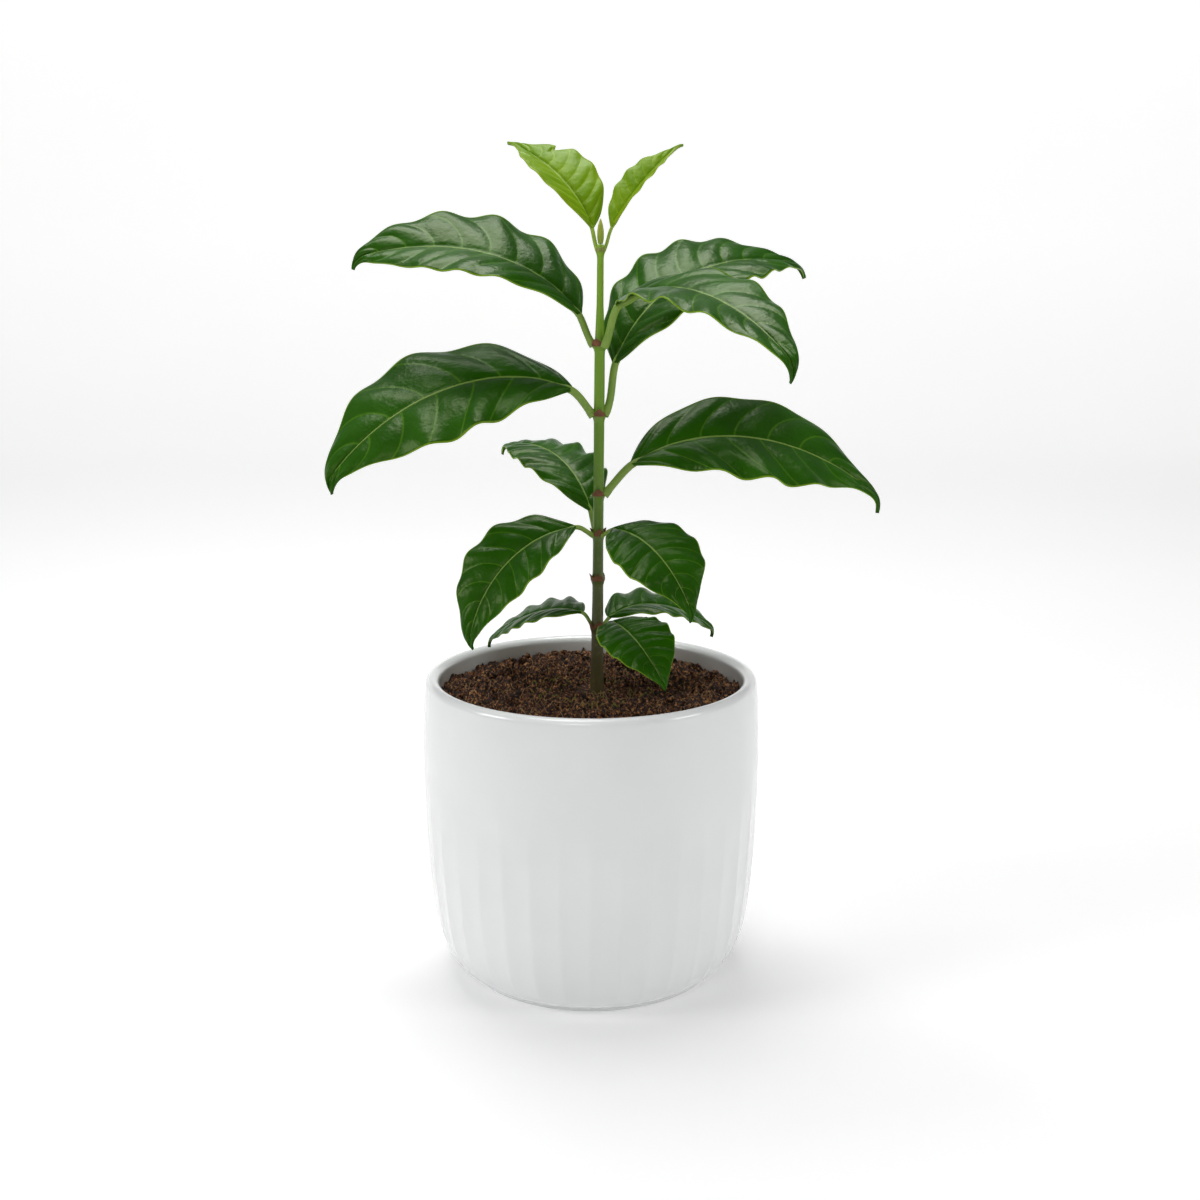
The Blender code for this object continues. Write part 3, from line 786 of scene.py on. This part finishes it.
def blade_frame(leaf, t):
    pitch = leaf["rise"] + (leaf["droop"] - leaf["rise"]) * t ** leaf["bend"]
    pitch -= leaf["hook"] * ease(t, *HOOK_SPAN)
    roll = radians(leaf["roll"] + leaf["twist"] * t)
    return turned_frame(radians(pitch), radians(leaf["heading"] + leaf["sweep"] * t), roll)


def vein_place(leaf, t, across, phase):
    """Counts the side veins along the blade: a whole number lies on a vein."""
    return VEINS_PER_WAVE * leaf["waves"] * (t + VEIN_LEAD * (1.0 - across ** VEIN_BEND)) - phase


def blade_offset(leaf, t, v):
    """How far the blade's point v, -1 to 1 across it, lies sideways and upwards of the midrib."""
    hand = 1.0 if v > 0.0 else -1.0
    across = abs(v)
    width = half_width(leaf, t, hand)
    wave = leaf["wave_left"] if hand < 0.0 else leaf["wave_right"]
    phase = leaf["phase_left"] if hand < 0.0 else leaf["phase_right"]
    place = leaf["waves"] * (t + WAVE_LEAD * (1.0 - across)) ** WAVE_CROWD
    ripple = wave * width / (0.5 * leaf["width"]) * across ** 2 * cos(2.0 * pi * (place - phase))
    fold = radians(leaf["fold"])
    sideways = width * v * cos(fold) + hand * WAVE_SIDEWAYS * ripple
    upwards = width * across * (sin(fold) - MARGIN_CURL * across) + ripple
    bulge = abs(sin(pi * vein_place(leaf, t, across, phase))) ** QUILT_ROUNDNESS
    arch = sin(pi * min(across * QUILT_REACH, 1.0)) ** QUILT_ROUNDNESS
    quilt = QUILT_DEPTH * leaf["width"] * arch * bulge
    groove = -MIDRIB_GROOVE * max(1.0 - across / GROOVE_SHARE, 0.0)
    return sideways, upwards + quilt + groove


def midrib(leaf):
    """Points, sideways and upward directions along the midrib, at even shares of its length."""
    height = NODE_SWELLING[leaf["stem_node"]][0]
    heading = radians(leaf["heading"])
    out = np.array((cos(heading), sin(heading), 0.0))
    centre = np.array((stem_x(height), 0.0, height))
    foot = centre + out * (stem_radius(height) - STALK_IN_STEM)
    base = centre + out * leaf["reach"] + np.array((0.0, 0.0, leaf["lift"]))
    points, sides, ups = [base], [blade_frame(leaf, 0.0)[1]], [blade_frame(leaf, 0.0)[2]]
    for i in range(1, ALONG + 1):
        along, _, _ = blade_frame(leaf, (i - 0.5) / ALONG)
        _, side, up = blade_frame(leaf, i / ALONG)
        points.append(points[-1] + along * leaf["length"] / ALONG)
        sides.append(side)
        ups.append(up)
    return foot, out, points, sides, ups


def make_blade(name, leaf, points, sides, ups):
    """The blade: a grid set out by the rule, given its thickness, with the vein count in its UV map."""

    def place(u, v):
        t, side = v, 2.0 * u - 1.0
        i = min(int(round(t * ALONG)), ALONG)
        sideways, upwards = blade_offset(leaf, min(max(t, 0.0), 1.0), side)
        return Vector(points[i] + sides[i] * sideways + ups[i] * upwards)

    made = shaped_grid(name, ACROSS, ALONG, place)
    layer = made.data.uv_layers.active or made.data.uv_layers.new(name="UVMap")
    layer.name = "veins"
    columns = ACROSS + 1
    for polygon in made.data.polygons:
        middle = np.mean([made.data.loops[i].vertex_index % columns for i in polygon.loop_indices])
        hand = "left" if middle < 0.5 * ACROSS else "right"
        for i in polygon.loop_indices:
            row, column = divmod(made.data.loops[i].vertex_index, columns)
            v = 2.0 * column / ACROSS - 1.0
            count = vein_place(leaf, row / ALONG, abs(v), leaf["phase_" + hand])
            layer.data[i].uv = (column / ACROSS, count)
    wall = made.modifiers.new("wall", "SOLIDIFY")
    wall.thickness = BLADE_THICKNESS
    wall.offset = 0.0
    wall.material_offset = 1
    bpy.ops.object.modifier_apply(modifier="wall")
    return made


def make_stalk(name, leaf, foot, out, points, ups):
    """The stalk and midrib: one tapering round strand, sunk into the blade's underside."""
    along, _, _ = blade_frame(leaf, 0.0)
    base = points[0]
    reach = float(np.linalg.norm(base - foot))
    steep = float(np.arctan2(base[2] - foot[2], (base - foot)[:2] @ out[:2]))
    first = min(steep, radians(FOOT_STEEPEST))
    start = out * cos(first) + np.array((0.0, 0.0, sin(first)))
    girth = max(STALK_GIRTH * leaf["length"], STALK_THINNEST)
    centres, radii = [], []
    for step in range(STALK_STEPS):
        u = step / STALK_STEPS
        centre = ((2 * u ** 3 - 3 * u ** 2 + 1) * foot + (u ** 3 - 2 * u ** 2 + u) * reach * start
                  + (3 * u ** 2 - 2 * u ** 3) * base + (u ** 3 - u ** 2) * reach * along)
        centres.append(centre)
        radii.append(girth * (1.0 + STALK_FLARE - STALK_FLARE * ease(u, 0.0, STALK_FLARE_END)))
    for i in range(0, ALONG - MIDRIB_STEP, MIDRIB_STEP):
        t = i / ALONG
        radius = girth * (MIDRIB_SHARE * (1.0 - t) ** MIDRIB_TAPER + MIDRIB_TIP)
        sink = ease(t, 0.0, MIDRIB_SINK_END) * (radius - MIDRIB_PROUD)
        centres.append(points[i] - ups[i] * sink)
        radii.append(radius)
    return strand(name, centres, 1.0, radii, 4, True)


def blade_material(name, dark, fresh, vein, edge, gloss):
    # Coffee leaf, upper side: a waxy cuticle gives a broad satin gloss over deep green,
    # with paler side veins, a yellow-green margin, low blisters about 4 mm across and a net
    # of cells about 1.5 mm across.
    made, tree, shader = new_material(name)
    place = node(tree, "ShaderNodeTexCoord").outputs["Object"]
    spot = node(tree, "ShaderNodeUVMap", uv_map="veins").outputs["UV"]
    parts = node(tree, "ShaderNodeSeparateXYZ", {"Vector": spot})
    cloud = node(tree, "ShaderNodeTexNoise", {"Vector": place, "Scale": 60.0, "Detail": 3.0}).outputs["Fac"]
    tone = node(tree, "ShaderNodeMix", {"Factor": cloud, "A": linear(dark), "B": linear(fresh)},
                data_type="RGBA")
    near = node(tree, "ShaderNodeMath", {0: parts.outputs["Y"], 1: 0.5}, operation="PINGPONG").outputs[0]
    line = node(tree, "ShaderNodeMapRange", {"Value": near, "From Min": 0.0, "From Max": 0.05,
                                             "To Min": 0.4, "To Max": 0.0}).outputs["Result"]
    tone = node(tree, "ShaderNodeMix", {"Factor": line, "A": tone.outputs["Result"], "B": linear(vein)},
                data_type="RGBA").outputs["Result"]
    out = node(tree, "ShaderNodeMath", {0: parts.outputs["X"], 1: 0.5}, operation="SUBTRACT").outputs[0]
    out = node(tree, "ShaderNodeMath", {0: out}, operation="ABSOLUTE").outputs[0]
    rim = node(tree, "ShaderNodeMapRange", {"Value": out, "From Min": 0.484, "From Max": 0.496,
                                            "To Min": 0.0, "To Max": 0.8}).outputs["Result"]
    tone = node(tree, "ShaderNodeMix", {"Factor": rim, "A": tone, "B": linear(edge)},
                data_type="RGBA").outputs["Result"]
    tree.links.new(tone, shader.inputs["Base Color"])
    cells = node(tree, "ShaderNodeTexVoronoi", {"Vector": place, "Scale": 650.0}).outputs["Distance"]
    blister = node(tree, "ShaderNodeTexNoise", {"Vector": place, "Scale": 230.0, "Detail": 2.0})
    coarse = node(tree, "ShaderNodeBump", {
        "Height": blister.outputs["Fac"], "Strength": 0.32, "Distance": 0.0012})
    bump = node(tree, "ShaderNodeBump", {"Height": cells, "Strength": 0.18, "Distance": 0.0003,
                                         "Normal": coarse.outputs["Normal"]})
    tree.links.new(bump.outputs["Normal"], shader.inputs["Normal"])
    rough = node(tree, "ShaderNodeMapRange", {"Value": cloud, "To Min": gloss, "To Max": gloss + 0.14})
    tree.links.new(rough.outputs["Result"], shader.inputs["Roughness"])
    shader.inputs["Specular IOR Level"].default_value = 0.28
    shader.inputs["Specular Tint"].default_value = linear("#dce6a8")
    return made


def underside_material(name, dark, pale):
    # Coffee leaf, underside: no waxy gloss, so paler, matt and faintly mottled.
    made, tree, shader = new_material(name)
    place = node(tree, "ShaderNodeTexCoord").outputs["Object"]
    cloud = node(tree, "ShaderNodeTexNoise", {"Vector": place, "Scale": 250.0, "Detail": 3.0})
    tone = node(tree, "ShaderNodeMix", {
        "Factor": cloud.outputs["Fac"], "A": linear(dark), "B": linear(pale)}, data_type="RGBA")
    tree.links.new(tone.outputs["Result"], shader.inputs["Base Color"])
    shader.inputs["Roughness"].default_value = 0.55
    return made


old_looks = (
    blade_material("coffee leaf upper side", "#123a00", "#2a6200", "#62921c", "#84a824", 0.27),
    underside_material("coffee leaf underside", "#40682a", "#5f8a3c"),
    underside_material("coffee leaf stalk", "#6a8a2e", "#87a544"),
)
young_looks = (
    blade_material("young leaf upper side", "#568200", "#86a600", "#aac622", "#9cb41c", 0.34),
    underside_material("young leaf underside", "#7a9e20", "#93b436"),
    underside_material("young leaf stalk", "#7f9f28", "#a3bd3c"),
)

for name, sizes in LEAVES.items():
    leaf = {**USUAL, **sizes}
    foot, out, points, sides, ups = midrib(leaf)
    looks = young_looks if leaf["stem_node"] == "crown" else old_looks
    blade = make_blade("blade_" + name, leaf, points, sides, ups)
    stalk = make_stalk("stalk_" + name, leaf, foot, out, points, ups)
    blade.data.materials.append(looks[0])
    blade.data.materials.append(looks[1])
    stalk.data.materials.append(looks[2])
    whole = joined(name + "_blade_and_stalk", [blade, stalk])
    whole.data.shade_smooth()
    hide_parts(name)
    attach(whole, "root")
